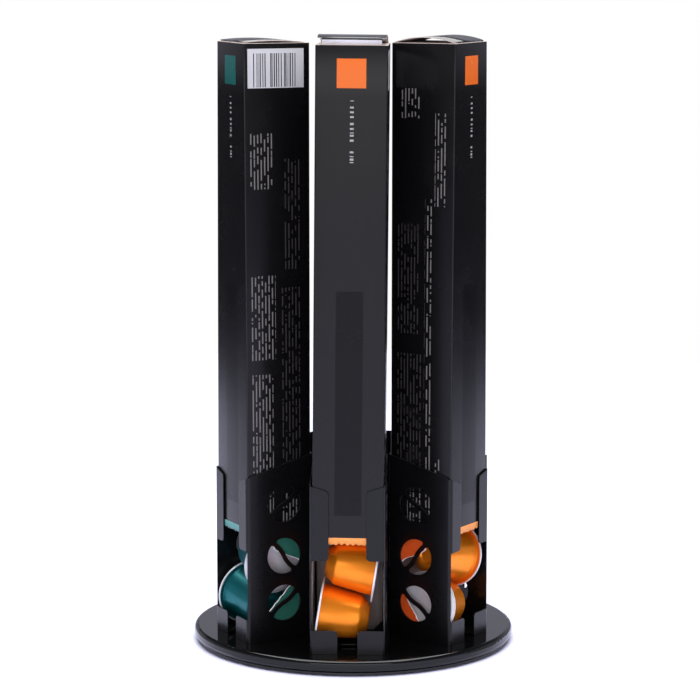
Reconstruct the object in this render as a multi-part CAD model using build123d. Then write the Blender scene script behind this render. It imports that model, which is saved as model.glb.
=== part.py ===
from build123d import *
from math import atan2, cos, radians, sin, tan
import os

# Revolving coffee capsule dispenser. Millimetres, +Z up, origin on the table under the axis.
# The front channel faces -Y. Every channel piece is drawn at the front and then turned about Z.

# Turntable disc
disc_diameter = 180.0
disc_rim_height = 6.6
disc_rim_wall = 3.5
disc_web = 2.8
disc_edge_radius = 2.4

# Fixed base plate and its feet
plate_diameter = 176.0
plate_thickness = 1.2
foot_diameter = 14.0
foot_height = 0.6
foot_circle_diameter = 140.0
foot_count = 4

# Ball bearing
race_diameter = 60.0
race_width = 8.0
race_thickness = 1.0
groove_depth = 0.45
ball_diameter = 3.0
ball_count = 18
ball_pocket_clearance = 0.1
cage_width = 6.0
cage_thickness = 1.0

# Pivot
pin_diameter = 6.0
pin_head_diameter = 12.0
pin_head_height = 0.4
pin_spare = 1.5
bush_wall = 2.0
bush_flange_width = 3.0
bush_flange_height = 1.0
washer_width = 4.0
washer_thickness = 0.8
clip_width = 3.0
clip_thickness = 0.8
clip_mouth = 4.0
clip_groove_depth = 0.5

# Capsule sleeve, a printed carton
sleeve_width = 38.4
sleeve_depth = 38.4
sleeve_height = 268.2
sleeve_fold_radius = 0.8
board = 0.45
tooth_pitch = 3.1
tooth_depth = 1.4
back_flap_length = 57.0
back_flap_width = 36.4
flap_taper = 5.0
lid_flap_width = 36.4
lid_flap_setback = 0.8
lid_flap_crest = 5.0
lid_flap_lift = 3.0

# Channels of folded sheet
channel_count = 6
sheet = 0.8
bend_radius = 2.0
core_gap = 0.1
sleeve_side_clearance = 0.55
sleeve_face_clearance = 0.2
wall_front_height = 92.7
wall_back_height = 103.4
flange_inner_height = 89.6
flange_bottom = 51.7
flange_gap = 20.4
lip_height = 13.1
lip_gap = 10.8
corner_radius = 2.2
foot_flange_width = 9.0
foot_flange_length = 26.0
ledge_height = 59.7
ledge_reach = 2.4
ledge_length = 3.6
ledge_setback = 1.2
bean_diameter = 20.0
bean_rib = 2.4
bean_sway = 1.1
bean_lean = 45.0
bean_heights = [21.0, 47.3, 76.3]
bean_setback = 2.2
bean_corner_radius = 1.2

# Channel floors
tray_clearance = 0.3
finger_slot_depth = 16.0

# Screws and nuts
screw_diameter = 3.0
screw_hole_clearance = 0.1
screw_head_diameter = 5.5
screw_head_height = 1.6
screw_spare = 0.4
screw_spread = 28.0
screw_inset = 9.0
nut_width = 5.5
nut_height = 2.2

# Capsules, lying on their sides
capsule_rim_diameter = 37.0
capsule_rim_thickness = 0.9
capsule_body_diameter = 30.4
capsule_shoulder_diameter = 24.2
capsule_shoulder_length = 22.5
capsule_nose_diameter = 14.0
capsule_length = 28.0
capsule_wall = 0.5
lid_thickness = 0.25
lid_margin = 0.5
capsule_count = 10
capsule_lean = 8.5
capsule_wall_gap = 0.55
lowest_forward = 2.1
second_forward = 0.7

# Fits
running_clearance = 0.05
fit_clearance = 0.05
rest_gap = 0.3
overrun = 5.0

# Heights, from the table up
plate_bottom = foot_height
plate_top = plate_bottom + plate_thickness
lower_race_top = plate_top + race_thickness
ball_height = lower_race_top - groove_depth + running_clearance + ball_diameter / 2
upper_race_bottom = 2 * ball_height - lower_race_top
web_bottom = upper_race_bottom + race_thickness
disc_top = web_bottom + disc_web
tray_top = disc_top + 2 * sheet
sleeve_bottom = disc_top + ledge_height + rest_gap
sleeve_top = sleeve_bottom + sleeve_height

# Places in a channel, measured out from the axis
inner_width = sleeve_width + 2 * sleeve_side_clearance
inner_depth = sleeve_depth + 2 * sleeve_face_clearance
channel_width = inner_width + 2 * sheet
channel_depth = inner_depth + 2 * sheet
back_outer = channel_width / 2 / tan(radians(180 / channel_count)) + core_gap
back_inner = back_outer + sheet
front_inner = back_inner + inner_depth
channel_middle = back_inner + inner_depth / 2
screw_radius = back_inner + screw_inset

channel_places = ["front", "front_right", "back_right", "back", "back_left", "front_left"]
sleeve_leans = {"front": 0.5, "front_right": -0.2, "front_left": 0.3}


def block(low, high):
    """A box between two corners."""
    size = [b - a for a, b in zip(low, high)]
    middle = [(a + b) / 2 for a, b in zip(low, high)]
    return Pos(*middle) * Box(*size)


def drum(diameter, bottom, top, centre=(0, 0)):
    """An upright cylinder between two heights."""
    return Pos(centre[0], centre[1], (bottom + top) / 2) * Cylinder(diameter / 2, top - bottom)


def ring(inner_diameter, outer_diameter, bottom, top):
    """An upright tube between two heights."""
    bore = drum(inner_diameter, bottom - overrun, top + overrun)
    return drum(outer_diameter, bottom, top) - bore


def group(solids):
    """Separate solids that share one node."""
    return Compound(children=list(solids))


def at_place(shape, place):
    """A piece drawn at the front channel, turned to its own place."""
    turn = 360 / channel_count * channel_places.index(place)
    return Rot(0, 0, turn) * shape


def screw_points():
    """The two screw places of the front channel."""
    return [(side * screw_spread / 2, -screw_radius) for side in (-1, 1)]


def all_screw_points():
    """Every screw place on the disc."""
    points = []
    for index in range(channel_count):
        turn = radians(360 / channel_count * index)
        for x, y in screw_points():
            points.append((x * cos(turn) - y * sin(turn), x * sin(turn) + y * cos(turn)))
    return points


def screw_hole(point, bottom, top):
    """The cutter for one screw's clearance hole."""
    diameter = screw_diameter + 2 * screw_hole_clearance
    return drum(diameter, bottom - overrun, top + overrun, point)


# Base, feet and bearing
def base_plate():
    hole = drum(pin_diameter + 2 * fit_clearance, plate_bottom - overrun, plate_top + overrun)
    return drum(plate_diameter, plate_bottom, plate_top) - hole


def rubber_feet():
    spots = PolarLocations(foot_circle_diameter / 2, foot_count, start_angle=180 / foot_count)
    foot = drum(foot_diameter, 0, foot_height)
    return group([spot * foot for spot in spots.locations])


def ball_groove():
    """The round channel that both races share."""
    return Pos(0, 0, ball_height) * Torus(race_diameter / 2, ball_diameter / 2 + running_clearance)


def race(bottom):
    blank = ring(race_diameter - race_width, race_diameter + race_width, bottom, bottom + race_thickness)
    return blank - ball_groove()


def ball_spots():
    return PolarLocations(race_diameter / 2, ball_count).locations


def bearing_balls():
    ball = Pos(0, 0, ball_height) * Sphere(ball_diameter / 2)
    return group([spot * ball for spot in ball_spots()])


def ball_cage():
    bottom = ball_height - cage_thickness / 2
    top = ball_height + cage_thickness / 2
    blank = ring(race_diameter - cage_width, race_diameter + cage_width, bottom, top)
    pocket = drum(ball_diameter + 2 * ball_pocket_clearance, bottom - overrun, top + overrun)
    return blank - [spot * pocket for spot in ball_spots()]


# Turntable and pivot
bush_bore = pin_diameter + 2 * running_clearance
bush_diameter = bush_bore + 2 * bush_wall
bush_flange_diameter = bush_diameter + 2 * bush_flange_width
bush_top = disc_top + bush_flange_height
washer_bottom = bush_top + running_clearance
clip_bottom = washer_bottom + washer_thickness
clip_top = clip_bottom + clip_thickness
pin_top = clip_top + pin_spare


def turntable_disc():
    rim_bottom = disc_top - disc_rim_height
    disc = drum(disc_diameter, rim_bottom, disc_top)
    rim_edges = disc.edges().filter_by(GeomType.CIRCLE)
    disc = fillet(rim_edges, disc_edge_radius)
    hollow = drum(disc_diameter - 2 * disc_rim_wall, rim_bottom - overrun, web_bottom)
    bore = drum(bush_diameter + 2 * fit_clearance, web_bottom - overrun, disc_top + overrun)
    holes = [screw_hole(point, web_bottom, disc_top) for point in all_screw_points()]
    return disc - [hollow, bore] - holes


def pivot_bush():
    body = drum(bush_diameter, web_bottom, disc_top)
    flange = drum(bush_flange_diameter, disc_top, bush_top)
    bore = drum(bush_bore, web_bottom - overrun, bush_top + overrun)
    return body + flange - bore


def pivot_pin():
    head = drum(pin_head_diameter, plate_bottom - pin_head_height, plate_bottom)
    shank = drum(pin_diameter, plate_bottom, pin_top)
    groove = ring(pin_diameter - 2 * clip_groove_depth, pin_diameter + 2 * overrun,
                  clip_bottom - fit_clearance, clip_top + fit_clearance)
    return head + shank - groove


def pivot_washer():
    bore = pin_diameter + 2 * fit_clearance
    return ring(bore, bore + 2 * washer_width, washer_bottom, clip_bottom)


def pivot_clip():
    bore = pin_diameter - 2 * clip_groove_depth + 2 * fit_clearance
    blank = ring(bore, bore + 2 * clip_width, clip_bottom, clip_top)
    mouth = block((0, -clip_mouth / 2, clip_bottom - overrun),
                  (bore + clip_width, clip_mouth / 2, clip_top + overrun))
    return blank - mouth


# Channels
def channel_tube():
    """The folded section, full height, before its openings are cut."""
    outline = RectangleRounded(channel_width, channel_depth, bend_radius)
    hollow = RectangleRounded(inner_width, inner_depth, bend_radius - sheet)
    return Pos(0, -channel_middle, disc_top) * extrude(outline - hollow, wall_back_height)


def front_opening():
    """Finger slot, window, flange gap and sloping flange tops, as one cut through the front."""
    slope = (wall_front_height - flange_inner_height) / (channel_width / 2 - flange_gap / 2)
    side = channel_width / 2 + overrun
    side_height = wall_front_height + slope * overrun
    half = [
        (lip_gap / 2, -overrun),
        (lip_gap / 2, lip_height),
        (inner_width / 2, lip_height),
        (inner_width / 2, flange_bottom),
        (flange_gap / 2, flange_bottom),
        (flange_gap / 2, flange_inner_height),
        (side, side_height),
        (side, wall_back_height + overrun),
    ]
    mirrored = [(-x, z) for x, z in reversed(half)]
    face = make_face(Polyline(*half, *mirrored, close=True))
    rounded = [(lip_gap / 2, lip_height), (flange_gap / 2, flange_bottom),
               (flange_gap / 2, flange_inner_height)]
    corners = []
    for x, z in rounded:
        for place in (Vector(x, z), Vector(-x, z)):
            corners.append(face.vertices().sort_by_distance(place)[0])
    face = fillet(corners, corner_radius)
    start = front_inner - (bend_radius - sheet)
    cut = extrude(Plane.XZ.offset(start) * face, bend_radius + overrun)
    return Pos(0, 0, disc_top) * cut


def wall_top_cut():
    """The sloping top edge of the two side walls."""
    front = front_inner + sheet
    slope = (wall_back_height - wall_front_height) / channel_depth
    points = [
        (-front - overrun, wall_front_height - slope * overrun),
        (-back_outer, wall_back_height),
        (-back_outer, wall_back_height + overrun),
        (-front - overrun, wall_back_height + overrun),
    ]
    face = make_face(Polyline(*points, close=True))
    cut = extrude(Plane.YZ * face, channel_width / 2 + overrun, both=True)
    return Pos(0, 0, disc_top) * cut


def bean_lobes():
    """A round cut-out with a curved rib left across it, like the crease of a coffee bean."""
    radius = bean_diameter / 2
    end = radius + bean_rib
    lower = ThreePointArc((0, -end), (-bean_sway, -end / 2), (0, 0))
    upper = ThreePointArc((0, 0), (bean_sway, end / 2), (0, end))
    rib = trace([lower, upper], bean_rib)
    lobes = Circle(radius) - rib
    tips = [point for point in lobes.vertices() if abs(point.Y) > radius / 2]
    return fillet(tips, bean_corner_radius)


def bean_cuts():
    """Beans through both side walls, one above the other, leaning to alternate sides."""
    cuts = []
    for index, height in enumerate(bean_heights):
        lean = bean_lean if index % 2 == 0 else -bean_lean
        place = Plane.YZ * Pos(bean_setback - channel_middle, disc_top + height) * Rot(0, 0, -lean)
        cuts.append(extrude(place * bean_lobes(), channel_width / 2 + overrun, both=True))
    return cuts


def sleeve_ledges():
    """Small tabs bent in from the side walls, for the sleeve to stand on."""
    top = disc_top + ledge_height
    ledges = []
    for side in (-1, 1):
        reach = [side * (inner_width / 2 - ledge_reach), side * (inner_width / 2 + sheet / 2)]
        for start in (back_inner + ledge_setback, front_inner - ledge_setback - ledge_length):
            low = (min(reach), -start - ledge_length, top - sheet)
            high = (max(reach), -start, top)
            ledges.append(block(low, high))
    return ledges


def foot_flanges():
    """The two tabs bent in at the foot of the side walls."""
    flanges = []
    for side in (-1, 1):
        reach = [side * (inner_width / 2 - foot_flange_width), side * (inner_width / 2 + sheet / 2)]
        low = (min(reach), -back_inner - foot_flange_length, disc_top)
        high = (max(reach), -back_inner - bend_radius, disc_top + sheet)
        flanges.append(block(low, high))
    return flanges


def channel():
    folded = channel_tube() - front_opening() - wall_top_cut() - bean_cuts()
    tabs = folded + sleeve_ledges() + foot_flanges()
    return tabs - [screw_hole(point, disc_top, tray_top) for point in screw_points()]


def floor_tray():
    half = inner_width / 2 - tray_clearance
    back = back_inner + tray_clearance
    front = front_inner - tray_clearance
    plate = block((-half, -front, disc_top + sheet), (half, -back, tray_top))
    plate = fillet(plate.edges().filter_by(Axis.Z), bend_radius - sheet)
    slot = block((-lip_gap / 2, -front - overrun, disc_top),
                 (lip_gap / 2, -front + finger_slot_depth, tray_top + overrun))
    slot = fillet(slot.edges().filter_by(Axis.Z).sort_by(Axis.Y)[-2:], corner_radius)
    return plate - slot - [screw_hole(point, disc_top, tray_top) for point in screw_points()]


def channel_screws():
    tip = web_bottom - nut_height - screw_spare
    screws = []
    for point in all_screw_points():
        head = drum(screw_head_diameter, tray_top, tray_top + screw_head_height, point)
        head = fillet(head.edges().filter_by(GeomType.CIRCLE).sort_by(Axis.Z)[-1], screw_head_height / 2)
        screws.append(head + drum(screw_diameter, tip, tray_top, point))
    return group(screws)


def channel_nuts():
    bottom = web_bottom - nut_height
    hexagon = RegularPolygon(nut_width / 2, 6, major_radius=False)
    bore = Circle(screw_diameter / 2 + fit_clearance)
    nut = extrude(hexagon - bore, nut_height)
    return group([Pos(x, y, bottom) * nut for x, y in all_screw_points()])


# Sleeves
def tear_teeth(middle):
    """Cutters for the torn, toothed lower edge of the front and back panels."""
    count = int(sleeve_width / tooth_pitch)
    first = -(count - 1) / 2 * tooth_pitch
    tooth = [(-tooth_pitch / 2, -overrun), (-tooth_pitch / 2, 0), (0, tooth_depth),
             (tooth_pitch / 2, 0), (tooth_pitch / 2, -overrun)]
    cutters = []
    for index in range(count):
        points = [(first + index * tooth_pitch + x, sleeve_bottom + z) for x, z in tooth]
        face = make_face(Polyline(*points, close=True))
        cutters.append(Pos(0, -middle, 0) * extrude(Plane.XZ * face, sleeve_depth, both=True))
    return cutters


def back_flap(back):
    """The opened end flap, with its lower corners cut off, hanging along the channel's back wall."""
    low = sleeve_bottom - back_flap_length
    half = [
        (back_flap_width / 2, sleeve_bottom + tooth_depth + board),
        (back_flap_width / 2, low + flap_taper),
        (back_flap_width / 2 - flap_taper, low),
    ]
    mirrored = [(-x, z) for x, z in reversed(half)]
    face = make_face(Polyline(*half, *mirrored, close=True))
    return Pos(0, -back, 0) * extrude(Plane.XZ * face, board)


def lid_flap(back):
    """The tuck flap on top, sprung up a little in a curve from its fold at the back."""
    fold = sleeve_top - board
    end = -back - sleeve_depth + lid_flap_setback
    middle = (end - back) / 2
    under = ThreePointArc((-back, fold), (middle, fold + lid_flap_crest), (end, fold + lid_flap_lift))
    over = ThreePointArc((end, fold + lid_flap_lift + board), (middle, fold + lid_flap_crest + board),
                         (-back, sleeve_top))
    front_edge = Line(under @ 1, over @ 0)
    fold_edge = Line(over @ 1, under @ 0)
    face = make_face([under, front_edge, over, fold_edge])
    return extrude(Plane.YZ * face, lid_flap_width / 2, both=True)


def sleeve():
    back = back_inner + sleeve_face_clearance
    middle = back + sleeve_depth / 2
    outline = RectangleRounded(sleeve_width, sleeve_depth, sleeve_fold_radius)
    hollow = RectangleRounded(sleeve_width - 2 * board, sleeve_depth - 2 * board,
                              sleeve_fold_radius - board)
    outside = Pos(0, -middle, sleeve_bottom) * extrude(outline, sleeve_height)
    inside = Pos(0, -middle, sleeve_bottom - overrun) * extrude(hollow, sleeve_height + overrun - board)
    carton = outside - inside - tear_teeth(middle)
    return carton + back_flap(back) + lid_flap(back)


def leaning(carton, lean):
    """A sleeve that leans to one side within the play of its channel."""
    foot = Pos(0, 0, sleeve_bottom)
    return foot * Rot(0, lean, 0) * foot.inverse() * carton


# Capsules
rim_radius = capsule_rim_diameter / 2
body_radius = capsule_body_diameter / 2
shoulder_radius = capsule_shoulder_diameter / 2
nose_radius = capsule_nose_diameter / 2
body_taper = (body_radius - shoulder_radius) / capsule_shoulder_length
stack_pitch = (body_radius + shoulder_radius) * cos(atan2(body_taper, 1)) + rest_gap


def capsule_cup():
    """A thin cup along +X: rim at the origin, nose at its far end."""
    cone = (shoulder_radius - nose_radius) / (capsule_length - capsule_shoulder_length)
    points = [
        (0, body_radius - capsule_wall),
        (0, rim_radius),
        (capsule_rim_thickness, rim_radius),
        (capsule_rim_thickness, body_radius - body_taper * capsule_rim_thickness),
        (capsule_shoulder_length, shoulder_radius),
        (capsule_length, nose_radius),
        (capsule_length, 0),
        (capsule_length - capsule_wall, 0),
        (capsule_length - capsule_wall, nose_radius + cone * capsule_wall - capsule_wall),
        (capsule_shoulder_length, shoulder_radius - capsule_wall),
    ]
    return revolve(make_face(Polyline(*points, close=True)), Axis.X)


def capsule_lid():
    """The foil disc sealed on the rim."""
    disc = Cylinder(rim_radius - lid_margin, lid_thickness)
    return Pos(-lid_thickness / 2, 0, 0) * Rot(0, 90, 0) * disc


def stack_places():
    """Where each capsule of the front channel lies: the lowest two lean and have rolled forward."""
    lean = radians(capsule_lean)
    x = -inner_width / 2 + capsule_wall_gap + rim_radius * sin(lean)
    z = tray_top + rest_gap + rim_radius * cos(lean) + capsule_rim_thickness * sin(lean)
    places = [(x, lowest_forward, z, capsule_lean)]
    x += capsule_length * cos(lean) + stack_pitch * sin(lean)
    z += -capsule_length * sin(lean) + stack_pitch * cos(lean)
    places.append((x, second_forward, z, capsule_lean + 180))
    crown_x = x - capsule_shoulder_length * cos(lean) + shoulder_radius * sin(lean)
    crown_z = z + capsule_shoulder_length * sin(lean) + shoulder_radius * cos(lean)
    level_radius = body_radius - body_taper * (crown_x + capsule_length / 2)
    for index in range(capsule_count - len(places)):
        side = -1 if index % 2 == 0 else 1
        height = crown_z + level_radius + rest_gap + index * stack_pitch
        places.append((side * capsule_length / 2, 0, height, 0 if side < 0 else 180))
    return places


def capsule_stack(piece):
    """One piece of every capsule in the front channel's stack."""
    return group([Pos(x, -channel_middle - forward, z) * Rot(0, turn, 0) * piece
                  for x, forward, z, turn in stack_places()])


def save(shape, node):
    export_step(shape, f"parts/{node}.step")


def main():
    os.makedirs("parts", exist_ok=True)
    save(base_plate(), "base_plate")
    save(rubber_feet(), "rubber_feet")
    save(race(plate_top), "lower_race")
    save(race(upper_race_bottom), "upper_race")
    save(bearing_balls(), "bearing_balls")
    save(ball_cage(), "ball_cage")
    save(turntable_disc(), "turntable_disc")
    save(pivot_pin(), "pivot_pin")
    save(pivot_bush(), "pivot_bush")
    save(pivot_washer(), "pivot_washer")
    save(pivot_clip(), "pivot_clip")
    save(channel_screws(), "channel_screws")
    save(channel_nuts(), "channel_nuts")
    folded_channel = channel()
    tray = floor_tray()
    for place in channel_places:
        save(at_place(folded_channel, place), f"channel_{place}")
        save(at_place(tray, place), f"floor_tray_{place}")
    carton = sleeve()
    cups = capsule_stack(capsule_cup())
    lids = capsule_stack(capsule_lid())
    for place, lean in sleeve_leans.items():
        save(at_place(leaning(carton, lean), place), f"sleeve_{place}")
        save(at_place(cups, place), f"capsule_cups_{place}")
        save(at_place(lids, place), f"capsule_lids_{place}")


main()
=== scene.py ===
# %% [markdown]
# # A revolving coffee capsule dispenser
# A glossy black turntable carries six channels of folded sheet steel. Three of them hold a tall printed
# carton of coffee capsules, torn open at its foot, so that the lowest capsules lie on their sides in the
# window of the channel. The CAD model is the fixed frame: channels, turntable and bearing keep their CAD
# shapes and only get finishes, while cartons, capsules and foil lids are modelled anew.

# %% Load the CAD frame
import math
import random

import bmesh
import bpy
from mathutils import Matrix, Vector


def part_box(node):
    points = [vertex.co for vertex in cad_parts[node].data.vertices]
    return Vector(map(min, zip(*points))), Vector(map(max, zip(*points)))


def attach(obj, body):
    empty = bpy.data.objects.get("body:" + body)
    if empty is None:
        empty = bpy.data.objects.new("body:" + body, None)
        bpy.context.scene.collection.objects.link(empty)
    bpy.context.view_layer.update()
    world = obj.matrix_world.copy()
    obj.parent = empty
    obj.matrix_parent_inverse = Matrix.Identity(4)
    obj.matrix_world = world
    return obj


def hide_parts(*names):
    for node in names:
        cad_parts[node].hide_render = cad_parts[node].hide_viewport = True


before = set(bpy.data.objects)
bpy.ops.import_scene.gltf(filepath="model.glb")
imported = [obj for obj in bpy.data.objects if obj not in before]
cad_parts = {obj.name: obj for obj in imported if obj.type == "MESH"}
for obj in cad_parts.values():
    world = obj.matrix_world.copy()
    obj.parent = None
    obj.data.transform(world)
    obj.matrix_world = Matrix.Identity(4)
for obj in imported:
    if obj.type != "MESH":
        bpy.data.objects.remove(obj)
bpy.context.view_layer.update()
mm = 0.001

# %% [markdown]
# ## Camera
# The photograph was taken from a little above the cartons' middle and from far away, with a long lens, so
# upright edges stay almost upright. The camera's place was solved from the known sizes of the part. A
# camera without shift is used, so that other views stay centred too.

# %% Camera
frame_pixels = 700
focal_pixels = 2759.8
camera_distance = 1528.7 * mm
camera_height = 392.9 * mm
camera_turn = math.radians(2.398)
camera_pan = math.radians(0.068)
camera_pitch = math.radians(8.508)
sensor = 36.0

lens = bpy.data.cameras.new("studio_lens")
lens.sensor_width = sensor
lens.lens = focal_pixels * sensor / frame_pixels
camera = bpy.data.objects.new("studio_camera", lens)
camera.location = (math.sin(camera_turn) * camera_distance,
                   -math.cos(camera_turn) * camera_distance, camera_height)
camera.rotation_euler = (math.pi / 2 - camera_pitch, 0, camera_turn + camera_pan)
bpy.context.scene.collection.objects.link(camera)
bpy.context.scene.camera = camera
print("Lens of", round(lens.lens, 1), "mm")

# %% [markdown]
# ## Helpers for finishes
# Every finish starts from the Principled shader. A value that is the same all over is set on the shader
# itself. Only what changes across the surface comes from nodes, and these read Object coordinates, so a
# pattern has the same real size on every piece.


# %% Helpers for finishes
def start_finish(name, values):
    """A new material and its shader, with the values that are the same all over."""
    finish = bpy.data.materials.new(name)
    finish.use_nodes = True
    shader = finish.node_tree.nodes["Principled BSDF"]
    for socket, value in values.items():
        shader.inputs[socket].default_value = value
    return finish, shader


def add_node(finish, kind, inputs, **settings):
    """One node. An input given as a socket is linked, and any other value is set."""
    node = finish.node_tree.nodes.new(kind)
    for key, value in settings.items():
        setattr(node, key, value)
    for key, value in inputs.items():
        if isinstance(value, bpy.types.NodeSocket):
            finish.node_tree.links.new(value, node.inputs[key])
        else:
            node.inputs[key].default_value = value
    return node


def feed(finish, source, node, socket):
    finish.node_tree.links.new(source, node.inputs[socket])


def calc(finish, operation, *values):
    """One sum on the way to a mask."""
    return add_node(finish, "ShaderNodeMath", dict(enumerate(values)), operation=operation).outputs[0]


def object_place(finish):
    return add_node(finish, "ShaderNodeTexCoord", {}).outputs["Object"]


def noise(finish, place, scale, detail=3.0):
    """Soft irregular variation with about `scale` patches to the metre."""
    return add_node(finish, "ShaderNodeTexNoise",
                    {"Vector": place, "Scale": scale, "Detail": detail}).outputs[0]


def spread(finish, share, low, high):
    """A share from 0 to 1, stretched to run from low to high."""
    return add_node(finish, "ShaderNodeMapRange",
                    {"Value": share, "To Min": low, "To Max": high}).outputs[0]


def two_colours(finish, share, first, second):
    """first where the share is 0 and second where it is 1."""
    return add_node(finish, "ShaderNodeMix", {0: share, 6: first, 7: second},
                    data_type="RGBA").outputs[2]


def raise_surface(finish, shader, height, depth, normal=None):
    """A fine relief of that depth in metres."""
    inputs = {"Height": height, "Distance": depth, "Strength": 1.0}
    if normal is not None:
        inputs["Normal"] = normal
    feed(finish, add_node(finish, "ShaderNodeBump", inputs).outputs[0], shader, "Normal")


def linear(red, green, blue):
    """A screen colour, 0 to 255 each, as the linear colour that shaders take."""
    share = [value / 255 for value in (red, green, blue)]
    return tuple(s / 12.92 if s <= 0.04045 else ((s + 0.055) / 1.055) ** 2.4 for s in share) + (1.0,)


def coat(name, finish):
    """Give a CAD node its finish."""
    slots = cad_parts[name].data.materials
    slots.clear()
    slots.append(finish)


print("Helpers ready; mid grey is", round(linear(128, 128, 128)[0], 3), "linear")

# %% [markdown]
# ## Powder coat
# The channels are folded steel with a satin black powder coat. Powder melts into a skin with a faint
# orange-peel relief about a millimetre across, and its cut edges are slightly rounded. The relief is a
# noise, and the rounding is the Bevel node, which softens the edges without touching the CAD mesh.

# %% Powder coat
peel_per_metre = 900.0
peel_depth = 0.012 * mm
cloud_per_metre = 45.0
edge_rounding = 0.35 * mm
powder_shades = (0.0016, 0.0016, 0.0019, 1), (0.0030, 0.0030, 0.0035, 1)
powder_roughness = 0.24, 0.32

powder_coat, shader = start_finish("powder_coat", {"Specular IOR Level": 0.28})
place = object_place(powder_coat)
clouds = noise(powder_coat, place, cloud_per_metre)
feed(powder_coat, two_colours(powder_coat, clouds, *powder_shades), shader, "Base Color")
feed(powder_coat, spread(powder_coat, clouds, *powder_roughness), shader, "Roughness")
soft_edge = add_node(powder_coat, "ShaderNodeBevel", {"Radius": edge_rounding}, samples=6).outputs[0]
raise_surface(powder_coat, shader, noise(powder_coat, place, peel_per_metre), peel_depth, soft_edge)

painted = [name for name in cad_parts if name.startswith(("channel_", "floor_tray_"))
           and name not in ("channel_screws", "channel_nuts")]
for name in painted:
    coat(name, powder_coat)
print("Powder-coated pieces:", len(painted))

# %% [markdown]
# ## Gloss turntable
# The turntable's top is as smooth as a mirror: the channels and the light behind them stand on their heads
# in it. It is polished black, so the shader gets a low roughness that only wanders a little, as wiped gloss
# does, and hairline scratches too fine to see as lines.

# %% Gloss turntable
wipe_per_metre = 26.0
hairline_depth = 0.0008 * mm
hairline_stretch = (40, 900, 40)
gloss_shades = (0.0016, 0.0016, 0.0018, 1), (0.0026, 0.0026, 0.0030, 1)
gloss_roughness = 0.05, 0.13

gloss_black, shader = start_finish("gloss_black", {"Specular IOR Level": 0.34})
place = object_place(gloss_black)
wipes = noise(gloss_black, place, wipe_per_metre, 5.0)
feed(gloss_black, two_colours(gloss_black, wipes, *gloss_shades), shader, "Base Color")
feed(gloss_black, spread(gloss_black, wipes, *gloss_roughness), shader, "Roughness")
stretched = add_node(gloss_black, "ShaderNodeMapping",
                     {"Vector": place, "Scale": hairline_stretch}).outputs[0]
raise_surface(gloss_black, shader, noise(gloss_black, stretched, 4.0), hairline_depth)
coat("turntable_disc", gloss_black)
print("Turntable finished with", gloss_black.name)

# %% [markdown]
# ## Base, feet and bearing
# Under the turntable sit a black enamelled plate, four rubber feet and a ball bearing. Steel is a metal with
# a fine turned grain, nylon a milky plastic, rubber a matt dark grey with a grainy skin. Each finish takes
# one noise, at the scale of its own grain.


# %% Base, feet and bearing
def grained_finish(name, values, first, second, grain_per_metre, roughness, depth, stretch=(1, 1, 1)):
    """A finish whose colour, roughness and relief all follow one grain."""
    finish, shader = start_finish(name, values)
    place = object_place(finish)
    place = add_node(finish, "ShaderNodeMapping", {"Vector": place, "Scale": stretch}).outputs[0]
    grain = noise(finish, place, grain_per_metre)
    feed(finish, two_colours(finish, grain, first, second), shader, "Base Color")
    feed(finish, spread(finish, grain, *roughness), shader, "Roughness")
    raise_surface(finish, shader, grain, depth)
    return finish


base_enamel = grained_finish("base_enamel", {}, (0.003, 0.003, 0.003, 1), (0.007, 0.007, 0.007, 1),
                             grain_per_metre=700.0, roughness=(0.3, 0.42), depth=0.006 * mm)
foot_rubber = grained_finish("foot_rubber", {"Specular IOR Level": 0.3}, (0.012, 0.012, 0.012, 1),
                             (0.03, 0.03, 0.03, 1), grain_per_metre=1500.0, roughness=(0.75, 0.95),
                             depth=0.03 * mm)
bearing_steel = grained_finish("bearing_steel", {"Metallic": 1.0}, (0.42, 0.42, 0.43, 1),
                               (0.62, 0.62, 0.63, 1), grain_per_metre=260.0, roughness=(0.22, 0.36),
                               depth=0.002 * mm, stretch=(1, 1, 12))
cage_nylon = grained_finish("cage_nylon", {"Subsurface Weight": 0.1}, (0.62, 0.60, 0.55, 1),
                            (0.74, 0.72, 0.67, 1), grain_per_metre=300.0, roughness=(0.42, 0.55),
                            depth=0.008 * mm)
small_finishes = {"base_plate": base_enamel, "rubber_feet": foot_rubber, "ball_cage": cage_nylon,
                  "pivot_bush": cage_nylon}
for name in ("lower_race", "upper_race", "bearing_balls", "pivot_pin", "pivot_washer", "pivot_clip",
             "channel_screws", "channel_nuts"):
    small_finishes[name] = bearing_steel
for name, finish in small_finishes.items():
    coat(name, finish)
print("Small parts finished:", len(small_finishes))

# %% [markdown]
# ## Where the cartons stand
# All three cartons are one folded blank, so one carton is modelled about its own foot and then set in each
# channel: leaned a little within its play, pushed out from the axis, and turned with its channel. The
# places are the CAD's own, so the new carton lies where the solid is. Board is soft, so above the channel
# each carton may also be racked by a few degrees about its own axis.

# %% Where the cartons stand
carton_width = 38.4 * mm
carton_depth = 38.4 * mm
carton_height = 268.2 * mm
carton_foot = 68.8 * mm
board = 0.45 * mm
front_low, front_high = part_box("sleeve_front")
carton_reach = -(front_low.y + front_high.y) / 2
carton_turns = {"front": 0.0, "front_right": 60.0, "front_left": 300.0}
carton_leans = {"front": 0.5, "front_right": -0.2, "front_left": 0.3}
carton_twists = {"front": 0.0, "front_right": 4.0, "front_left": -3.5}
twist_start = 45.0 * mm
coffees = {"front": "orange", "front_right": "orange", "front_left": "green"}


def turned(place):
    """From the front channel to this one."""
    return Matrix.Rotation(math.radians(carton_turns[place]), 4, "Z")


def carton_stand(place):
    """From a carton about its own foot to its place on the turntable."""
    lean = Matrix.Rotation(math.radians(carton_leans[place]), 4, "Y")
    return turned(place) @ Matrix.Translation((0, -carton_reach, carton_foot)) @ lean


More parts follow.
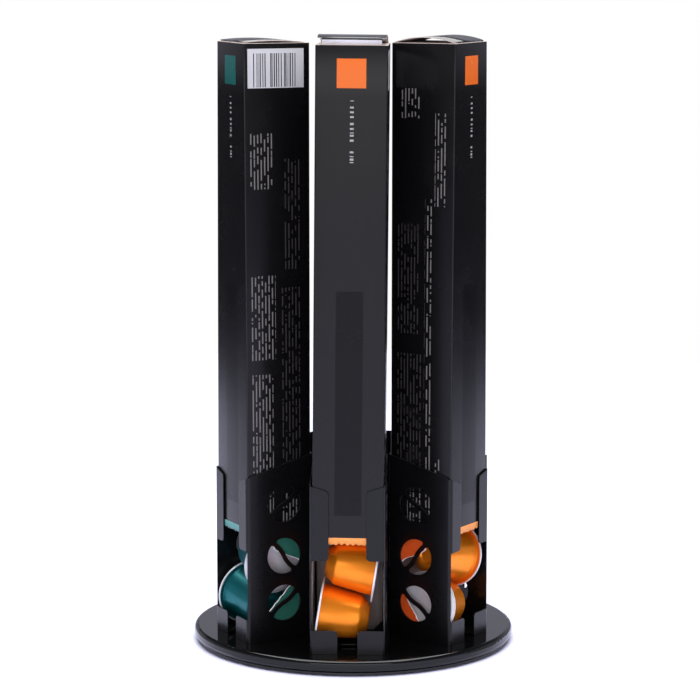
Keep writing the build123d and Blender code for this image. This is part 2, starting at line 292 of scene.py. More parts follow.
def twist_at(place, height):
    """How far a carton has turned about its own axis at a height above its foot."""
    share = max(height - twist_start, 0.0) / (carton_height - twist_start)
    return math.radians(carton_twists[place]) * share


def rack(shape, place):
    """Twist the free upper part of a carton about its own axis, as soft cartons do."""
    for vert in shape.verts:
        vert.co = Matrix.Rotation(twist_at(place, vert.co.z), 3, "Z") @ vert.co


print("Cartons stand", round(carton_reach / mm, 2), "mm from the axis")

# %% [markdown]
# ## Finishing a piece
# Each new piece ends the same way: its bmesh becomes a mesh object at the origin, with its place in the
# mesh itself, it rides on its CAD body, it may stand for a CAD node, and it names its material slot. Folds
# sharper than a given angle stay crisp, and all other faces are shaded smooth.

# %% Finishing a piece
sharp_fold = math.radians(40.0)


def finish_piece(shape, name, materials, body, node=None):
    """A bmesh made into a piece that rides on a body and may stand for a CAD node."""
    mesh = bpy.data.meshes.new(name)
    for face in shape.faces:
        face.smooth = True
    shape.to_mesh(mesh)
    shape.free()
    mesh.set_sharp_from_angle(angle=sharp_fold)
    for material in materials:
        mesh.materials.append(material)
    piece = bpy.data.objects.new(name, mesh)
    bpy.context.scene.collection.objects.link(piece)
    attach(piece, body)
    if node:
        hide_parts(node)
    print(name, "has", len(mesh.polygons), "faces")
    return piece


def thicken(piece, thickness, inside_slot=0, even=True):
    """A wall of that thickness inwards from the modelled skin."""
    wall = piece.modifiers.new("board", "SOLIDIFY")
    wall.thickness = thickness
    wall.offset = -1.0
    wall.use_even_offset = even
    wall.material_offset = inside_slot
    wall.material_offset_rim = inside_slot


print("Folds stay crisp from", round(math.degrees(sharp_fold)), "degrees")

# %% [markdown]
# ## Layout of the print
# The cartons are printed charcoal under a satin varnish, with one bright colour chip near the top, a
# tone-on-tone stripe, and rows of plain bars on the sides. The print lives on the flat blank, so the UV map
# is the blank itself, in metres: u runs round the carton from the middle of the front, v up from the foot.
# Here are its inks and the blocks that they fill.

# %% Layout of the print
charcoal, charcoal_light, charcoal_dark = linear(9, 8, 9), linear(12, 11, 12), linear(6, 5, 6)
bar_pale, bar_dim = linear(116, 113, 111), linear(56, 53, 52)
mark_pale, panel_pale = linear(166, 162, 160), linear(196, 195, 198)
# The lighter grey of the folds is partly rubbed ink and partly a painted highlight where the folds catch the
# light.
fold_rub_and_highlight = linear(44, 42, 44)
chip_colours = {"orange": linear(224, 104, 26), "green": linear(8, 84, 78)}
# Blocks on the blank: middle across, middle up, width, height, all in millimetres.
stripe_block = (0.0, 77.25, 14.6, 121.5)
pale_blocks = [(29.0, 205.0, 15.0, 30.0), (29.4, 120.0, 15.0, 46.0), (28.6, 47.0, 13.0, 84.0),
               (-46.0, 236.0, 12.0, 16.0), (-27.5, 206.0, 7.0, 50.0), (-34.4, 128.0, 4.6, 116.0),
               (-34.0, 40.0, 4.6, 60.0), (-28.0, 26.0, 4.6, 34.0), (45.0, 14.0, 10.0, 16.0),
               (-42.5, 15.0, 9.0, 16.0)]
dim_blocks = [(47.0, 176.0, 11.0, 60.0), (46.0, 84.0, 11.0, 104.0), (-47.0, 141.0, 14.0, 60.0),
              (-46.0, 62.0, 16.0, 76.0)]
chip_block = (0.0, 253.4, 15.5, 15.5)
mark_block = (0.4, 221.2, 2.0, 36.0)
panel_block = (37.8, 254.8, 32.6, 21.0)
striped_block = (37.8, 253.8, 27.0, 18.0)
print("Blocks of bars:", len(pale_blocks), "pale and", len(dim_blocks), "dim")

# %% [markdown]
# ## Masks for the print
# A mask is 1 where an ink goes and 0 elsewhere. A rectangle on the blank is two Compare nodes multiplied. A
# row of bars is a stripe broken up by a noise, and uneven stripes are a noise along one line, cut at a level.

# %% Masks for the print
row_pitch = 2.0 * mm
bar_half = 0.18
row_offset = 7.31
bars_per_metre = 260.0
bar_level, stripe_level = 0.45, 0.52
fold = carton_width / 2
# Half-width and patches of the lighter fold line, which is partly wear and partly a painted highlight.
fold_line_half_width = 0.4 * mm
fold_patches_per_metre = 220.0
fold_patch_range = 0.2, 0.8


def block_mask(finish, u, v, block):
    """1 on a rectangle of the blank, 0 elsewhere."""
    middle_u, middle_v, width, height = (value * mm for value in block)
    across = calc(finish, "COMPARE", u, middle_u, width / 2)
    along = calc(finish, "COMPARE", v, middle_v, height / 2)
    return calc(finish, "MULTIPLY", across, along)


def any_block(finish, u, v, blocks):
    """1 on any of the rectangles."""
    mask = block_mask(finish, u, v, blocks[0])
    for block in blocks[1:]:
        mask = calc(finish, "MAXIMUM", mask, block_mask(finish, u, v, block))
    return mask


def bar_rows(finish, u, v):
    """Rows of plain bars of uneven length, running up the carton."""
    line = calc(finish, "DIVIDE", u, row_pitch)
    row = calc(finish, "FLOOR", line)
    bar = calc(finish, "COMPARE", calc(finish, "SUBTRACT", line, row), 0.5, bar_half)
    row_start = calc(finish, "MULTIPLY", row, row_offset)
    along = calc(finish, "MULTIPLY", v, bars_per_metre)
    spot = add_node(finish, "ShaderNodeCombineXYZ", {"X": row_start, "Y": along}).outputs[0]
    pieces = calc(finish, "GREATER_THAN", noise(finish, spot, 1.0, 1.0), bar_level)
    return calc(finish, "MULTIPLY", bar, pieces)


def uneven_stripes(finish, across, per_metre):
    """Plain stripes of uneven width, one after the other across the blank."""
    line = calc(finish, "MULTIPLY", across, per_metre)
    spot = add_node(finish, "ShaderNodeCombineXYZ", {"X": line}).outputs[0]
    return calc(finish, "GREATER_THAN", noise(finish, spot, 1.0, 0.0), stripe_level)


def folds_rubbed_and_highlit(finish, u, place):
    """A lighter line along the four folds, in patches: partly rubbed ink, partly a painted highlight."""
    side = calc(finish, "ABSOLUTE", u)
    near = calc(finish, "COMPARE", side, fold, fold_line_half_width)
    far = calc(finish, "COMPARE", side, fold + carton_depth, fold_line_half_width)
    patches = spread(finish, noise(finish, place, fold_patches_per_metre, 4.0), *fold_patch_range)
    return calc(finish, "MULTIPLY", calc(finish, "MAXIMUM", near, far), patches)


print("Bars lie", round(row_pitch / mm, 1), "mm apart")

# %% [markdown]
# ## Building the print
# The print is laid down as a printer would, one ink over the other: charcoal with a faint cloudiness, the
# dark stripe, the rows of bars, the pale striped panel, the chip, and last a lighter line along the folds:
# partly wear, where the ink has cracked and the board shows through, and partly a painted highlight of the
# folds. The dark stripe also has less gloss than the varnish.

# %% Building the print
ink_per_metre = 60.0
marks_per_metre, stripes_per_metre = 800.0, 1500.0
varnish_gloss, stripe_gloss = 0.28, 0.19
varnish_roughness = 0.23, 0.30
fibre_per_metre = 1800.0
fibre_depth = 0.006 * mm


def lay(finish, paint, ink, *masks):
    """An ink laid over the paint where all of the masks are 1."""
    where = masks[0]
    for mask in masks[1:]:
        where = calc(finish, "MULTIPLY", where, mask)
    return two_colours(finish, where, paint, ink)


def carton_print(colour):
    finish, shader = start_finish(f"carton_print_{colour}", {"Specular IOR Level": varnish_gloss})
    blank = add_node(finish, "ShaderNodeUVMap", {}, uv_map="blank").outputs[0]
    split = add_node(finish, "ShaderNodeSeparateXYZ", {"Vector": blank})
    u, v = split.outputs["X"], split.outputs["Y"]
    place = object_place(finish)
    cloud = noise(finish, place, ink_per_metre, 4.0)
    stripe = block_mask(finish, u, v, stripe_block)
    rows = bar_rows(finish, u, v)
    marks = uneven_stripes(finish, v, marks_per_metre)
    stripes = uneven_stripes(finish, u, stripes_per_metre)
    paint = two_colours(finish, cloud, charcoal, charcoal_light)
    paint = lay(finish, paint, charcoal_dark, stripe)
    paint = lay(finish, paint, bar_pale, any_block(finish, u, v, pale_blocks), rows)
    paint = lay(finish, paint, bar_dim, any_block(finish, u, v, dim_blocks), rows)
    paint = lay(finish, paint, mark_pale, block_mask(finish, u, v, mark_block), marks)
    paint = lay(finish, paint, panel_pale, block_mask(finish, u, v, panel_block))
    paint = lay(finish, paint, charcoal, block_mask(finish, u, v, striped_block), stripes)
    paint = lay(finish, paint, chip_colours[colour], block_mask(finish, u, v, chip_block))
    # Last the lighter fold line, partly rubbed ink and partly a painted highlight.
    paint = lay(finish, paint, fold_rub_and_highlight, folds_rubbed_and_highlit(finish, u, place))
    feed(finish, paint, shader, "Base Color")
    feed(finish, spread(finish, stripe, varnish_gloss, stripe_gloss), shader, "Specular IOR Level")
    feed(finish, spread(finish, cloud, *varnish_roughness), shader, "Roughness")
    raise_surface(finish, shader, noise(finish, place, fibre_per_metre), fibre_depth)
    return finish


prints = {colour: carton_print(colour) for colour in chip_colours}
print("Carton prints:", sorted(prints))

# %% [markdown]
# ## Board and the torn band
# Inside, the carton is bare grey board with visible fibres, and its torn edges are white fluff. At its foot
# the outer print was torn off along a perforation, and a band in the coffee's colour shows under it, paler
# where the fibres were pulled. The lid is varnished charcoal outside, like the panels.

# %% Board and the torn band
matt_board = {"Specular IOR Level": 0.3}
grey_board = grained_finish("grey_board", matt_board, linear(164, 150, 144), linear(214, 202, 196),
                            grain_per_metre=320.0, roughness=(0.5, 0.75), depth=0.05 * mm,
                            stretch=(1, 1, 0.12))
# White board for the frayed edges of the tears, and for the lid's tuck tab, whose white is a painted
# highlight.
white_board_and_tab_highlight = grained_finish("white_board_and_tab_highlight", matt_board, linear(226, 224, 224), linear(242, 241, 242),
                             grain_per_metre=900.0, roughness=(0.6, 0.8), depth=0.03 * mm)
lid_varnish = grained_finish("lid_varnish", {"Specular IOR Level": 0.9}, charcoal, charcoal_light,
                             grain_per_metre=ink_per_metre, roughness=(0.2, 0.27), depth=0.01 * mm)
band_shades = {"orange": (linear(255, 150, 62), linear(255, 182, 104)),
               "green": (linear(78, 144, 134), linear(118, 178, 166))}
flap_shades = {"orange": (linear(206, 76, 18), linear(222, 90, 26)),
               "green": (linear(26, 92, 78), linear(38, 104, 88))}
band_finishes, flap_finishes = {}, {}
for colour in chip_colours:
    band_finishes[colour] = grained_finish(f"torn_band_{colour}", matt_board, *band_shades[colour],
                                           grain_per_metre=700.0, roughness=(0.5, 0.7), depth=0.03 * mm)
    flap_finishes[colour] = grained_finish(f"flap_print_{colour}", matt_board, *flap_shades[colour],
                                           grain_per_metre=240.0, roughness=(0.5, 0.62), depth=0.02 * mm)
print("Board finishes:", grey_board.name, white_board_and_tab_highlight.name, sorted(band_finishes))

# %% [markdown]
# ## Tools for board
# A few bmesh steps come again and again in this file: rounding with a bevel, cutting the whole shape by a
# plane, picking what an extrusion made, and finding a level loop. Each gets a short name here.

# %% Tools for board
close = 0.01 * mm


def round_off(shape, geom, radius, segments, affect="EDGES"):
    """Round edges, or corners where affect says VERTICES."""
    bmesh.ops.bevel(shape, geom=geom, offset=radius, segments=segments, profile=0.5, affect=affect,
                    material=-1)


def cut(shape, point, normal, clear_outer=False):
    """Cut the whole shape by a plane, and clear what lies beyond it where that is asked."""
    bmesh.ops.bisect_plane(shape, geom=shape.verts[:] + shape.edges[:] + shape.faces[:], plane_co=point,
                           plane_no=normal, clear_outer=clear_outer)


def points_of(geom):
    return [item for item in geom if isinstance(item, bmesh.types.BMVert)]


def open_edges(geom):
    """The edges that still have a face on one side only."""
    return [item for item in geom if isinstance(item, bmesh.types.BMEdge) and item.is_boundary]


def loop_at(shape, height):
    """The edges that lie level at that height."""
    return [e for e in shape.edges if all(abs(v.co.z - height) < close for v in e.verts)]


print("Points closer than", round(close / mm, 3), "mm count as one place")

# %% [markdown]
# ## Carton panels
# A carton is a box without a bottom. A cube gives the four panels and the top; bevels fold its edges; and
# level cuts give it loops to bend by. The top is closed by the grey dust flaps under the lid. The flat blank
# is kept as a UV map, worked out from the side that each face looks to.

# %% Carton panels
fold_radius = 0.8 * mm
top_radius = 0.35 * mm
band_height = 4.3 * mm
level_cuts = 8
board_layer, band_layer, top_layer = 1, 2, 3


def unfold(shape):
    """The flat blank as a UV map, in metres."""
    blank = shape.loops.layers.uv.new("blank")
    for face in shape.faces:
        across, out = face.normal.x, face.normal.y
        for corner in face.loops:
            x, y, z = corner.vert.co
            if abs(out) >= abs(across) and out <= 0:
                u = x
            elif abs(across) > abs(out):
                u = math.copysign(fold + y + carton_depth / 2, across)
            else:
                u = fold + carton_depth + fold - x
            corner[blank].uv = (u, z)


def carton_panels():
    shape = bmesh.new()
    upper = carton_height - band_height
    bmesh.ops.create_cube(shape, size=1.0)
    bmesh.ops.scale(shape, verts=shape.verts, vec=(carton_width, carton_depth, upper))
    bmesh.ops.translate(shape, verts=shape.verts, vec=(0, 0, band_height + upper / 2))
    bmesh.ops.delete(shape, geom=[f for f in shape.faces if f.normal.z < -0.5], context="FACES_ONLY")
    upright = [e for e in shape.edges if abs(e.verts[0].co.z - e.verts[1].co.z) > carton_width]
    round_off(shape, upright, fold_radius, segments=4)
    round_off(shape, loop_at(shape, carton_height), top_radius, segments=2)
    for index in range(level_cuts):
        height = twist_start + index / level_cuts * (carton_height - twist_start)
        cut(shape, (0, 0, height), (0, 0, 1))
    for face in shape.faces:
        if face.normal.z > 0.9:
            face.material_index = top_layer
    unfold(shape)
    return shape


print("Carton panels are", round((carton_height - band_height) / mm, 1), "mm tall")

# %% [markdown]
# ## Torn foot of a carton
# The open lower loop of the panels is extruded twice, a short step inwards and then down, for the band that
# the tear laid bare. Alternate points of its lower edge are pulled up as teeth, each a little differently,
# and a Solidify modifier gives the board its thickness.

# %% Torn foot of a carton
ply = 0.05 * mm
tooth_pitch = 3.1 * mm
tooth_depth = 1.4 * mm
notch_range, tip_range = (0.55, 1.0), (0.0, 0.3)


def add_band(shape):
    """The band under the torn print, one ply further in."""
    step = bmesh.ops.extrude_edge_only(shape, edges=loop_at(shape, band_height))["geom"]
    inset = 1 - 2 * ply / carton_width
    bmesh.ops.scale(shape, verts=points_of(step), vec=(inset, inset, 1))
    lower = bmesh.ops.extrude_edge_only(shape, edges=open_edges(step))["geom"]
    bmesh.ops.translate(shape, verts=points_of(lower), vec=(0, 0, -band_height))
    for face in shape.faces:
        if face.calc_center_median().z < band_height:
            face.material_index = band_layer


def tear(shape, place):
    """Teeth along the lower edge of the front and back panels."""
    draw = random.Random(len(place))
    teeth = int(carton_width / tooth_pitch)
    panels = [e for e in loop_at(shape, 0) if abs(e.verts[0].co.x - e.verts[1].co.x) > carton_width / 2]
    made = bmesh.ops.subdivide_edges(shape, edges=panels, cuts=2 * teeth - 1)["geom_inner"]
    for index, point in enumerate(sorted(points_of(made), key=lambda v: (v.co.y, v.co.x))):
        point.co.z += tooth_depth * draw.uniform(*(notch_range if index % 2 == 0 else tip_range))


for place, colour in coffees.items():
    shape = carton_panels()
    add_band(shape)
    tear(shape, place)
    rack(shape, place)
    bmesh.ops.transform(shape, matrix=carton_stand(place), verts=shape.verts)
    layers = [prints[colour], grey_board, band_finishes[colour], grey_board]
    carton = finish_piece(shape, f"carton_{place}", layers, f"sleeve_{place}",
                          f"sleeve_{place}")
    thicken(carton, board, inside_slot=board_layer)

# %% [markdown]
# ## Hanging flap
# The opened end flap hangs inside the channel, flat against the back wall, with its lower corners cut off.
# It is a grid with two corners cut by bisecting planes, thickened to board.

# %% Hanging flap
hanging_length = 57.0 * mm
hanging_width = 36.4 * mm
hanging_taper = 5.0 * mm


def hanging_flap():
    shape = bmesh.new()
    lower_edge = tooth_depth - hanging_length
    bmesh.ops.create_grid(shape, x_segments=8, y_segments=12, size=0.5)
    bmesh.ops.rotate(shape, verts=shape.verts, cent=(0, 0, 0), matrix=Matrix.Rotation(math.pi / 2, 3, "X"))
    bmesh.ops.scale(shape, verts=shape.verts, vec=(hanging_width, 1, hanging_length))
    bmesh.ops.translate(shape, verts=shape.verts,
                        vec=(0, carton_depth / 2, lower_edge + hanging_length / 2))
    for side in (-1, 1):
        corner = (side * (hanging_width / 2 - hanging_taper), 0, lower_edge)
        cut(shape, corner, (side, 0, -1), clear_outer=True)
    return shape


for place, colour in coffees.items():
    shape = hanging_flap()
    bmesh.ops.transform(shape, matrix=carton_stand(place), verts=shape.verts)
    flap = finish_piece(shape, f"hanging_flap_{place}", [grey_board], f"sleeve_{place}")
    thicken(flap, board)

# %% [markdown]
# ## Torn side flaps
# The carton's two side flaps, printed in the coffee's colour, were torn and hang down between the capsules
# and the channel's walls, where they show through the bean cut-outs. Each is a grid whose rows are pulled in
# to a ragged outline. Its outermost column is the white, frayed edge of the tear.

# %% Outlines of the tears
# How far out from the axis a torn flap reaches at each height above the table, in millimetres.
upper_tear = [(69.0, 60.0), (60.0, 59.4), (58.8, 57.4), (56.8, 53.0), (53.6, 45.4), (51.5, 43.7)]
steep_tear = upper_tear + [(37.2, 43.4), (35.8, 45.8), (28.6, 50.0), (19.7, 55.7), (12.2, 57.0)]
wide_tear = upper_tear + [(41.0, 43.6), (38.5, 50.6), (33.8, 54.6), (30.1, 58.6), (25.1, 63.1),
                          (12.2, 64.0)]
full_tear = [(69.0, 58.0), (59.0, 66.0), (52.0, 69.3), (24.0, 69.0), (16.0, 66.0), (12.2, 62.0)]
tears = {"front": full_tear, "front_right": steep_tear, "front_left": wide_tear}


def tear_reach(line, height):
    """How far out a torn flap reaches at a height."""
    for (high, reach_high), (low, reach_low) in zip(line, line[1:]):
        if height >= low:
            return reach_low + (reach_high - reach_low) * (height - low) / (high - low)
    return line[-1][1]


for place, line in tears.items():
    print("Torn flaps of", place, "reach", round(tear_reach(line, 40.0), 1), "mm out at a height of 40 mm")

# %% Torn side flaps
# Where the flaps begin, their flare, bend and fray, in millimetres as well.
flap_start = 41.7
flap_flare = 0.45
flap_bend = 6.0
fray = 0.35
frayed_width = 0.7
flap_rows, flap_columns = 60, 6
flap_board = 0.22 * mm
frayed_layer, inner_layer = 1, 2


def side_flaps(place):
    draw = random.Random(len(place))
    line = tears[place]
    top, bottom = line[0][0], line[-1][0]
    shape = bmesh.new()
    for side in (-1, 1):
        frays = [draw.uniform(-fray, fray) for row in range(flap_rows + 1)]
        points = bmesh.ops.create_grid(shape, x_segments=flap_columns, y_segments=flap_rows,
                                       size=0.5)["verts"]
        for face in {face for point in points for face in point.link_faces}:
            if face.calc_center_median().x > 0.5 - 1 / flap_columns:
                face.material_index = frayed_layer
        for point in points:
            across, down = point.co.x + 0.5, 0.5 - point.co.y
            height = top - down * (top - bottom)
            out = tear_reach(line, height) + frays[round(down * flap_rows)]
            column = round(across * flap_columns)
            if column < flap_columns:
                out = flap_start + (out - frayed_width - flap_start) * column / (flap_columns - 1)
            flare = flap_flare * min((top - height) / flap_bend, 1.0)
            point.co = (side * (carton_width / 2 + flare * mm), -out * mm, height * mm)
    shape.normal_update()
    bmesh.ops.reverse_faces(shape, faces=[f for f in shape.faces if f.normal.x * f.verts[0].co.x < 0])
    return shape


for place, colour in coffees.items():
    shape = side_flaps(place)
    bmesh.ops.transform(shape, matrix=turned(place), verts=shape.verts)
    layers = [flap_finishes[colour], white_board_and_tab_highlight, grey_board, grey_board]
    flaps = finish_piece(shape, f"side_flaps_{place}", layers, f"sleeve_{place}")
    thicken(flaps, flap_board, inside_slot=inner_layer)

# %% [markdown]
# ## Lid
# On top the lid has sprung up in a curve from its fold at the back, each carton's a little differently, and
# its tuck tab shows under its front edge, whose white is a painted highlight under the lid. The back edge is
# spun about a level axis, which is exactly how board bends; the front corners are rounded; and the front edge
# is extruded down for the tab.

# %% Spring of the lids
# How high each lid's middle and front edge stand over the carton.
lid_springs = {"front": (4.8 * mm, 3.6 * mm), "front_right": (3.3 * mm, 0.4 * mm),
               "front_left": (1.5 * mm, 0.7 * mm)}


def arc_centre(start, top, end):
    """The centre of the circle through three points, each (y, z)."""
    (ay, az), (by, bz), (cy, cz) = start, top, end
    twice = 2 * (ay * (bz - cz) + by * (cz - az) + cy * (az - bz))
    squares = [y * y + z * z for y, z in (start, top, end)]
    y = (squares[0] * (bz - cz) + squares[1] * (cz - az) + squares[2] * (az - bz)) / twice
    z = (squares[0] * (cy - by) + squares[1] * (ay - cy) + squares[2] * (by - ay)) / twice
    return y, z


for place, (crest, lift) in lid_springs.items():
    print("Lid of", place, "springs up by", round(crest / mm, 1), "mm")

# %% Lid
lid_width = 36.4 * mm
lid_setback = 0.8 * mm
lid_corner = 2.4 * mm
lid_fold = 0.9 * mm
lid_steps = 12
# The tab's slot takes white board, a painted highlight under the lid's front edge.
varnish_layer, tab_highlight_layer, lid_inner_layer = 0, 1, 2


def lid(crest, lift):
    back, end = carton_depth / 2, -carton_depth / 2 + lid_setback
    start, finish = (back, carton_height), (end, carton_height + lift)
    y, z = arc_centre(start, ((back + end) / 2, carton_height + crest), finish)
    sweep = math.atan2(finish[1] - z, finish[0] - y) - math.atan2(start[1] - z, start[0] - y)
    shape = bmesh.new()
    ends = [shape.verts.new((side * lid_width / 2, *start)) for side in (-1, 1)]
    bmesh.ops.spin(shape, geom=ends + [shape.edges.new(ends)], cent=(0, y, z), axis=(1, 0, 0), dvec=(0, 0, 0),
                   angle=sweep, steps=lid_steps, use_merge=False, use_duplicate=False)
    front = min(v.co.y for v in shape.verts)
    round_off(shape, [v for v in shape.verts if v.co.y < front + close], lid_corner, 4, "VERTICES")
    fronts = [e for e in shape.edges if all(v.co.y < front + close for v in e.verts)]
    drop = min(lid_fold, lift / 2)
    for depth, layer in ((drop, varnish_layer), (lift - drop - close, tab_highlight_layer)):
        tab = bmesh.ops.extrude_edge_only(shape, edges=fronts)["geom"]
        fronts = [e for e in open_edges(tab) if abs(e.verts[0].co.x - e.verts[1].co.x) > lid_width / 2]
        bmesh.ops.translate(shape, verts=points_of(tab), vec=(0, board / 2, -depth))
        for face in (item for item in tab if isinstance(item, bmesh.types.BMFace)):
            face.material_index = layer
    bmesh.ops.recalc_face_normals(shape, faces=shape.faces)
    if sum(face.normal.z for face in shape.faces) < 0:
        bmesh.ops.reverse_faces(shape, faces=shape.faces)
    return shape


for place, colour in coffees.items():
    shape = lid(*lid_springs[place])
    rack(shape, place)
    bmesh.ops.transform(shape, matrix=carton_stand(place), verts=shape.verts)
    # Slot 1 is the tab, white as a painted highlight.
    layers = [lid_varnish, white_board_and_tab_highlight, grey_board, white_board_and_tab_highlight]
    flap = finish_piece(shape, f"lid_{place}", layers, f"sleeve_{place}")
    thicken(flap, board, inside_slot=lid_inner_layer, even=False)

# %% [markdown]
# ## Capsule finishes
# A capsule is deep-drawn aluminium with a tinted lacquer, so the colour is in the metal's own reflection: a
# partly metallic shader with a coloured base, and a faint cloudy grain. The curled rim gets a near-white,
# partly metallic finish, a painted highlight along the curl, and the lid is thin foil with a little
# wrinkling.

# %% Capsule finishes
lacquered = {"Metallic": 0.6, "Coat Weight": 0.08, "Coat Roughness": 0.14}
capsule_shades = {"orange": (linear(255, 150, 28), linear(250, 138, 20)),
                  "green": (linear(10, 108, 110), linear(6, 94, 98))}
lacquers = {}
for colour, shades in capsule_shades.items():
    lacquers[colour] = grained_finish(f"capsule_lacquer_{colour}", lacquered, *shades, grain_per_metre=160.0,
                                      roughness=(0.28, 0.36), depth=0.004 * mm)
# Near white all over: a painted highlight along the capsules' curled rims.
rim_highlight_finish = grained_finish("rim_highlight_finish", {"Metallic": 0.3}, (0.82, 0.82, 0.82, 1), (0.92, 0.92, 0.92, 1),
                           grain_per_metre=400.0, roughness=(0.3, 0.45), depth=0.004 * mm)
foil = grained_finish("foil", {"Metallic": 0.45}, (0.66, 0.66, 0.67, 1), (0.80, 0.80, 0.81, 1),
                      grain_per_metre=240.0, roughness=(0.38, 0.5), depth=0.05 * mm)
print("Lacquers:", sorted(lacquers))

# %% [markdown]
# ## Where the capsules lie
# The lowest two capsules lean on each other and have rolled forward; those above lie level, turned end for
# end, and have turned with their carton where it is racked. Each place is one matrix, so that one capsule
# and one foil lid can be modelled once and copied.

# %% Where the capsules lie
capsule_reach = 55.89 * mm
# The lowest two: across, forward and up in millimetres, and the turn in degrees.
resting = [(-16.466, 2.1, 29.130, 8.5), (15.269, 0.7, 52.035, 188.5)]
stack_pitch = 27.345
level_x, level_start, level_count = 14.0, 81.615, 8


def stack(place):
    """Where each capsule of a channel lies, as a matrix."""
    spots = list(resting)
    for index in range(level_count):
        side = -1 if index % 2 == 0 else 1
        spots.append((side * level_x, 0.0, level_start + index * stack_pitch, 0.0 if side < 0 else 180.0))
    return [turned(place) @ Matrix.Translation((0, -capsule_reach, z * mm))
            @ Matrix.Rotation(twist_at(place, z * mm - carton_foot), 4, "Z")
            @ Matrix.Translation((x * mm, -forward * mm, 0))
            @ Matrix.Rotation(math.radians(turn), 4, "Y") for x, forward, z, turn in spots]


def stacked(shape, place):
    """A bmesh with one copy of the shape at each place of the stack."""
    whole = bmesh.new()
    single = bpy.data.meshes.new("single")
    shape.to_mesh(single)
    shape.free()
    for matrix in stack(place):
        copy = single.copy()
        copy.transform(matrix)
        whole.from_mesh(copy)
        bpy.data.meshes.remove(copy)
    bpy.data.meshes.remove(single)
    return whole


print("Capsules in a channel:", len(stack("front")))

# %% [markdown]
# ## Capsules
# A capsule is round about one axis, so half its outline is drawn once and spun: curled rim, tapered body,
# shoulder, cone, and a shallow dish in the nose. The wall has its real thickness.

# %% Capsules
# Half the outline, along the axis from the rim and out from the axis, in millimetres.
outside = [(27.2, 0), (27.2, 4.2), (28.0, 5.2), (28.0, 7.0), (22.5, 12.1), (1.3, 15.0), (0.5, 15.7),
           (0.5, 17.5), (0.9, 17.7), (0.9, 18.3), (0.5, 18.5), (0.1, 18.4), (0, 17.6)]
inside = [(0, 14.8), (22.4, 11.6), (27.4, 6.8), (26.8, 5.0), (26.8, 0)]
round_corners = {(22.5, 12.1): 0.9, (28.0, 7.0): 1.4, (28.0, 5.2): 0.5, (27.2, 4.2): 0.5}
spin_steps = 56
rim_start = 17.9 * mm
rim_layer = 1


def capsule_shape():
    """One cup along +X with its rim at the origin."""
    shape = bmesh.new()
    points = [shape.verts.new((x * mm, 0, r * mm)) for x, r in outside + inside]
    for first, second in zip(points, points[1:]):
        shape.edges.new((first, second))
    for (x, r), radius in round_corners.items():
        corner = [v for v in shape.verts if abs(v.co.x - x * mm) < close and abs(v.co.z - r * mm) < close]
        round_off(shape, corner, radius * mm, 4, "VERTICES")
    bmesh.ops.spin(shape, geom=shape.verts[:] + shape.edges[:], cent=(0, 0, 0), axis=(1, 0, 0),
                   dvec=(0, 0, 0), angle=2 * math.pi, steps=spin_steps, use_merge=True, use_duplicate=False)
    bmesh.ops.remove_doubles(shape, verts=shape.verts, dist=close)
    bmesh.ops.recalc_face_normals(shape, faces=shape.faces)
    for face in shape.faces:
        middle = face.calc_center_median()
        # The outer curl of the rim takes the painted highlight.
        if math.hypot(middle.y, middle.z) > rim_start:
            face.material_index = rim_layer
    return shape


for place, colour in coffees.items():
    finish_piece(stacked(capsule_shape(), place), f"capsules_{place}", [lacquers[colour], rim_highlight_finish],
                 f"capsules_{place}", f"capsule_cups_{place}")

# %% [markdown]
# ## Foil lids
# Each cup is closed by a foil disc, flat where it is sealed to the flange and a little dished inside that.
# A circle is inset a few times, each time a little deeper, and then gets the foil's thickness.

# %% Foil lids
foil_radius = 18.0 * mm
foil_segments = 48
foil_thickness = 0.2 * mm
# How far in each ring lies from the last one, and how much deeper, in millimetres.
foil_rings = [(3.4, 0.0), (0.8, 0.22), (5.0, 0.1), (5.0, 0.05)]


def lid_shape():
    """One foil disc, dished inwards inside its sealed margin."""
    shape = bmesh.new()
    bmesh.ops.create_circle(shape, cap_ends=True, radius=foil_radius, segments=foil_segments)
    bmesh.ops.rotate(shape, verts=shape.verts, cent=(0, 0, 0), matrix=Matrix.Rotation(-math.pi / 2, 3, "Y"))
    bmesh.ops.translate(shape, verts=shape.verts, vec=(-foil_thickness, 0, 0))
    shape.normal_update()
    for margin, dish in foil_rings:
        bmesh.ops.inset_region(shape, faces=[max(shape.faces, key=lambda f: len(f.verts))],
                               thickness=margin * mm, depth=-dish * mm, use_boundary=True,
                               use_even_offset=True)
    return shape


for place in coffees:
    lids = finish_piece(stacked(lid_shape(), place), f"foil_lids_{place}", [foil], f"capsules_{place}",
                        f"capsule_lids_{place}")
    thicken(lids, foil_thickness)

# %% [markdown]
# ## Floor and light
# A product shot on pure white: a pale oval table top under one broad soft light, and a wide soft light low
# in front. The table reaches far to the front and ends sooner at the sides, so the panels that face sideways
# mirror it low down and the dark room above that. The room is dim in every mirror but plain white where the
# camera looks past the table.

# %% Floor
floor_half_width, floor_half_length = 1.0, 1.9
floor_forward = 0.8
floor_shape = bmesh.new()
bmesh.ops.create_circle(floor_shape, cap_ends=True, radius=1.0, segments=96)
bmesh.ops.scale(floor_shape, verts=floor_shape.verts, vec=(floor_half_width, floor_half_length, 1))
bmesh.ops.translate(floor_shape, verts=floor_shape.verts, vec=(0, -floor_forward, 0))
floor_mesh = bpy.data.meshes.new("studio_floor")
floor_shape.to_mesh(floor_mesh)
floor_shape.free()
studio_floor = bpy.data.objects.new("studio_floor", floor_mesh)
bpy.context.scene.collection.objects.link(studio_floor)
floor_paper = grained_finish("floor_paper", {"Specular IOR Level": 0.2}, (0.73, 0.73, 0.93, 1),
                             (0.77, 0.77, 0.97, 1), grain_per_metre=30.0, roughness=(0.6, 0.7),
                             depth=0.01 * mm)
floor_mesh.materials.append(floor_paper)
print("Table top of", 2 * floor_half_width, "by", 2 * floor_half_length, "m")

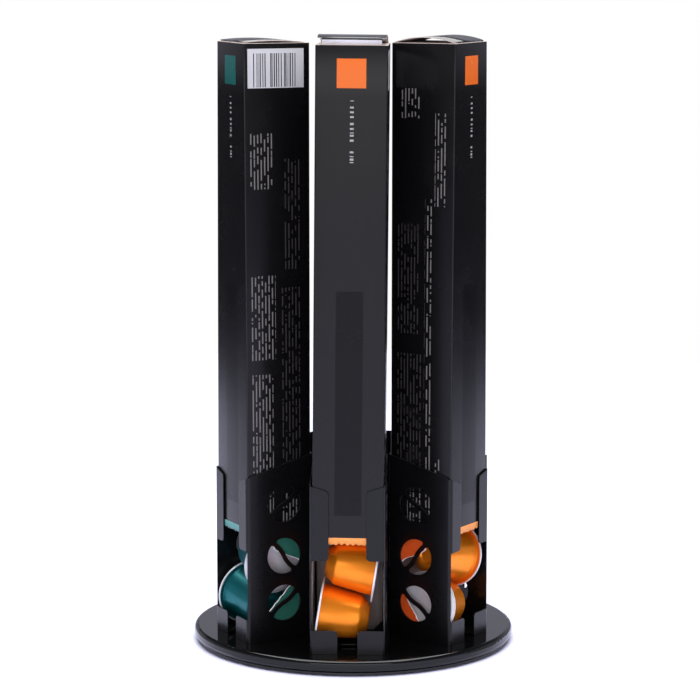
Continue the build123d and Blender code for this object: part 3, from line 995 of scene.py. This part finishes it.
# %% Room
# The room's brightness from straight down, 0, over the horizon, 0.5, to straight up, 1.
room_levels = [(0.0, 0.03), (0.49, 0.03), (0.505, 0.28), (0.62, 0.58), (0.75, 0.12), (1.0, 0.10)]
room_tint = 0.84, 0.84, 1.0
backdrop_white = (1.0, 1.0, 1.0, 1.0)

world = bpy.data.worlds.new("studio_room")
bpy.context.scene.world = world
world.use_nodes = True
room = world.node_tree.nodes["Background"]
direction = add_node(world, "ShaderNodeTexCoord", {}).outputs["Generated"]
upward = add_node(world, "ShaderNodeSeparateXYZ", {"Vector": direction}).outputs["Z"]
rise = add_node(world, "ShaderNodeMapRange", {"Value": upward, "From Min": -1.0}).outputs[0]
glow = add_node(world, "ShaderNodeValToRGB", {0: rise})
while len(glow.color_ramp.elements) < len(room_levels):
    glow.color_ramp.elements.new(1.0)
for element, (height, level) in zip(glow.color_ramp.elements, room_levels):
    element.position = height
    element.color = tuple(tint * level for tint in room_tint) + (1,)
feed(world, glow.outputs[0], room, "Color")
backdrop = add_node(world, "ShaderNodeBackground", {"Color": backdrop_white}).outputs[0]
camera_ray = add_node(world, "ShaderNodeLightPath", {}).outputs["Is Camera Ray"]
either = add_node(world, "ShaderNodeMixShader", {0: camera_ray, 1: room.outputs[0], 2: backdrop})
feed(world, either.outputs[0], world.node_tree.nodes["World Output"], "Surface")
print("Room levels:", room_levels)


# %% Lights
def softbox(name, place, aim, size, power):
    """A large soft light at a place, aimed at a point."""
    data = bpy.data.lights.new(name, "AREA")
    data.shape = "RECTANGLE"
    data.size, data.size_y = size
    data.energy = power
    light = bpy.data.objects.new(name, data)
    light.location = place
    light.rotation_euler = (Vector(aim) - Vector(place)).to_track_quat("-Z", "Y").to_euler()
    bpy.context.scene.collection.objects.link(light)
    print(name, "of", power, "W")


softbox("top_softbox", place=(0.0, 0.0, 2.0), aim=(0, 0, 0), size=(2.4, 2.4), power=108.0)
softbox("front_softbox", place=(0.0, -2.2, 0.5), aim=(0, 0, 0.15), size=(2.4, 0.8), power=12.0)
bpy.context.scene.view_settings.view_transform = "Standard"
